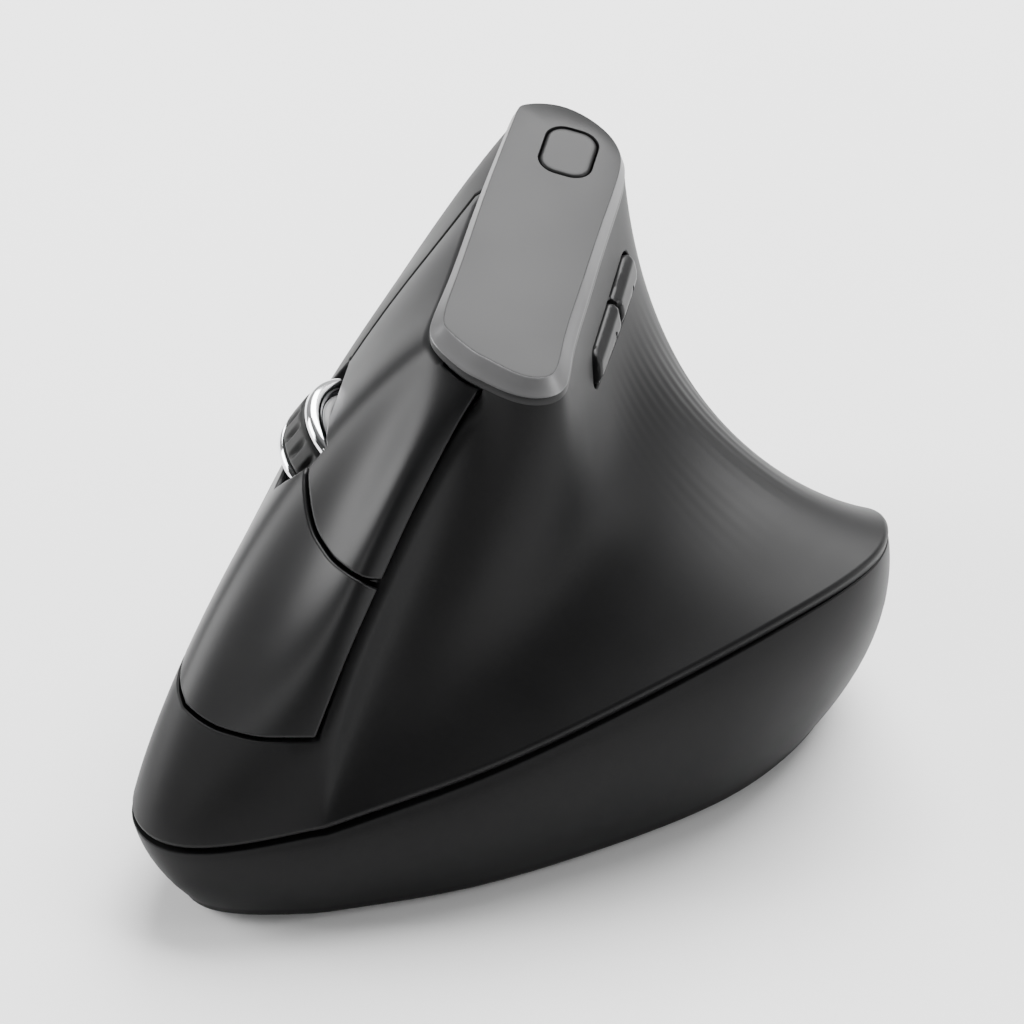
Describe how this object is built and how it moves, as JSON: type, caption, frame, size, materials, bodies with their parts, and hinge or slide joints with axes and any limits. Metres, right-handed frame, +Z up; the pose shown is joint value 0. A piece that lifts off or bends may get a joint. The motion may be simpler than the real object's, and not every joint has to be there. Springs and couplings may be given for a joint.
{
  "type": "upright computer mouse",
  "caption": "Upright cordless computer mouse for the right hand, with click buttons, a scroll wheel, thumb buttons and a grey top plate.",
  "frame": {"origin": "on the table under the middle of the mouse", "axes": "+Z up, +Y to the rear, -Y the nose, +X the thumb side, -X the finger side"},
  "size_m": [0.0818, 0.1186, 0.0778],
  "materials": {
    "body_soft": "soft-touch black moulded shell",
    "base_soft": "fine matte black moulded base",
    "plate_satin": "satin grey plate with a polished chamfer",
    "dpi_satin": "satin grey button",
    "button_satin": "satin dark grey buttons",
    "thumb_satin": "satin dark grey thumb buttons",
    "tyre_rubber": "black ribbed rubber",
    "ring_chrome": "bright plated ring",
    "inner_plastic": "black moulded inner plastic",
    "steel": "plated steel",
    "chip": "black moulded component",
    "board": "green circuit board",
    "switch_body": "switch housing",
    "switch_red": "red plunger",
    "lens_clear": "clear moulded lens",
    "cell_wrap": "plain wrapped cell",
    "glide": "slippery pad"
  },
  "bodies": {
    "root": {"upper_shell": "body_soft", "base_shell": "base_soft", "top_plate": "plate_satin", "inner_frame": "inner_plastic", "switch_board": "board", "left_switch": "switch_body", "right_switch": "switch_body", "wheel_switch": "switch_body", "side_board": "board", "forward_switch": "switch_body", "back_switch": "switch_body", "dpi_board": "board", "dpi_switch": "switch_body", "main_board": "board", "radio_chip": "chip", "sensor_chip": "chip", "sensor_lens": "lens_clear", "power_switch": "steel", "battery_cell": "cell_wrap", "battery_plate": "steel", "battery_spring": "steel", "front_foot": "glide", "rear_foot": "glide", "side_foot": "glide", "case_screw_left": "steel", "case_screw_rear": "steel", "case_screw_side": "steel", "frame_screw_front": "steel", "frame_screw_rear": "steel"},
    "left_click": {"left_click_button": "button_satin"},
    "right_click": {"right_click_button": "button_satin"},
    "wheel_carrier": {"wheel_carriage": "inner_plastic", "scroll_encoder": "chip"},
    "wheel": {"wheel_tyre": "tyre_rubber", "wheel_ring_upper": "ring_chrome", "wheel_ring_lower": "ring_chrome", "wheel_hub": "inner_plastic", "wheel_axle": "steel"},
    "forward_press": {"forward_button": "thumb_satin"},
    "back_press": {"back_button": "thumb_satin"},
    "dpi_press": {"dpi_button": "dpi_satin"},
    "left_plunger": {"left_plunger": "switch_red"},
    "right_plunger": {"right_plunger": "switch_red"},
    "wheel_plunger": {"wheel_plunger": "switch_red"},
    "forward_plunger": {"forward_plunger": "switch_red"},
    "back_plunger": {"back_plunger": "switch_red"},
    "dpi_plunger": {"dpi_plunger": "switch_red"},
    "power_knob": {"power_switch_knob": "inner_plastic"},
    "battery_door": {"battery_door": "base_soft"},
    "receiver": {"receiver_body": "inner_plastic", "receiver_plug": "steel"}
  },
  "joints": [
    {"name": "left_click", "type": "hinge", "parent": "root", "child": "left_click", "pos_m": [-0.02182, 0.0218, 0.07174], "axis": [0.8802, 0.0382, 0.4731], "range_deg": [0, 0.4], "stiffness_Nm_per_rad": 2},
    {"name": "right_click", "type": "hinge", "parent": "root", "child": "right_click", "pos_m": [-0.03168, 0.00411, 0.05309], "axis": [0.8384, 0.1277, 0.5298], "range_deg": [0, 0.4], "stiffness_Nm_per_rad": 2},
    {"name": "wheel_press", "type": "slide", "parent": "root", "child": "wheel_carrier", "axis": [0.7885, 0.2562, -0.5592], "range_m": [0, 0.0006], "stiffness_N_per_m": 1500},
    {"name": "wheel_spin", "type": "hinge", "parent": "wheel_carrier", "child": "wheel", "pos_m": [-0.0235, -0.0136, 0.04965], "axis": [0.5318, 0.1728, 0.829], "continuous": true},
    {"name": "forward_press", "type": "slide", "parent": "root", "child": "forward_press", "axis": [-0.9118, -0.2273, -0.342], "range_m": [0, 0.0006], "stiffness_N_per_m": 1500},
    {"name": "back_press", "type": "slide", "parent": "root", "child": "back_press", "axis": [-0.9118, -0.2273, -0.342], "range_m": [0, 0.0006], "stiffness_N_per_m": 1500},
    {"name": "dpi_press", "type": "slide", "parent": "root", "child": "dpi_press", "axis": [-0.228, 0.0353, -0.973], "range_m": [0, 0.0005], "stiffness_N_per_m": 1500},
    {"name": "left_plunger_slide", "type": "slide", "parent": "root", "child": "left_plunger", "axis": [0.7885, 0.2562, -0.5592], "range_m": [0, 0.0012]},
    {"name": "right_plunger_slide", "type": "slide", "parent": "root", "child": "right_plunger", "axis": [0.7885, 0.2562, -0.5592], "range_m": [0, 0.0012]},
    {"name": "wheel_plunger_slide", "type": "slide", "parent": "root", "child": "wheel_plunger", "axis": [0.7885, 0.2562, -0.5592], "range_m": [0, 0.0012]},
    {"name": "forward_plunger_slide", "type": "slide", "parent": "root", "child": "forward_plunger", "axis": [-0.9118, -0.2273, -0.342], "range_m": [0, 0.0012]},
    {"name": "back_plunger_slide", "type": "slide", "parent": "root", "child": "back_plunger", "axis": [-0.9118, -0.2273, -0.342], "range_m": [0, 0.0012]},
    {"name": "dpi_plunger_slide", "type": "slide", "parent": "root", "child": "dpi_plunger", "axis": [-0.228, 0.0353, -0.973], "range_m": [0, 0.0012]},
    {"name": "power_slide", "type": "slide", "parent": "root", "child": "power_knob", "axis": [1, 0, 0], "range_m": [0, 0.0032]},
    {"name": "battery_door_pull", "type": "slide", "parent": "root", "child": "battery_door", "axis": [0, 0, -1], "range_m": [0, 0.012]},
    {"name": "receiver_pull", "type": "slide", "parent": "root", "child": "receiver", "axis": [0, 0, -1], "range_m": [0, 0.012]}
  ],
  "couplings": [
    {"joint": "left_plunger_slide", "follows": "left_click", "m_per_rad": 0.02864},
    {"joint": "right_plunger_slide", "follows": "right_click", "m_per_rad": 0.02065},
    {"joint": "wheel_plunger_slide", "follows": "wheel_press", "ratio": 1},
    {"joint": "forward_plunger_slide", "follows": "forward_press", "ratio": 1},
    {"joint": "back_plunger_slide", "follows": "back_press", "ratio": 1},
    {"joint": "dpi_plunger_slide", "follows": "dpi_press", "ratio": 1}
  ]
}
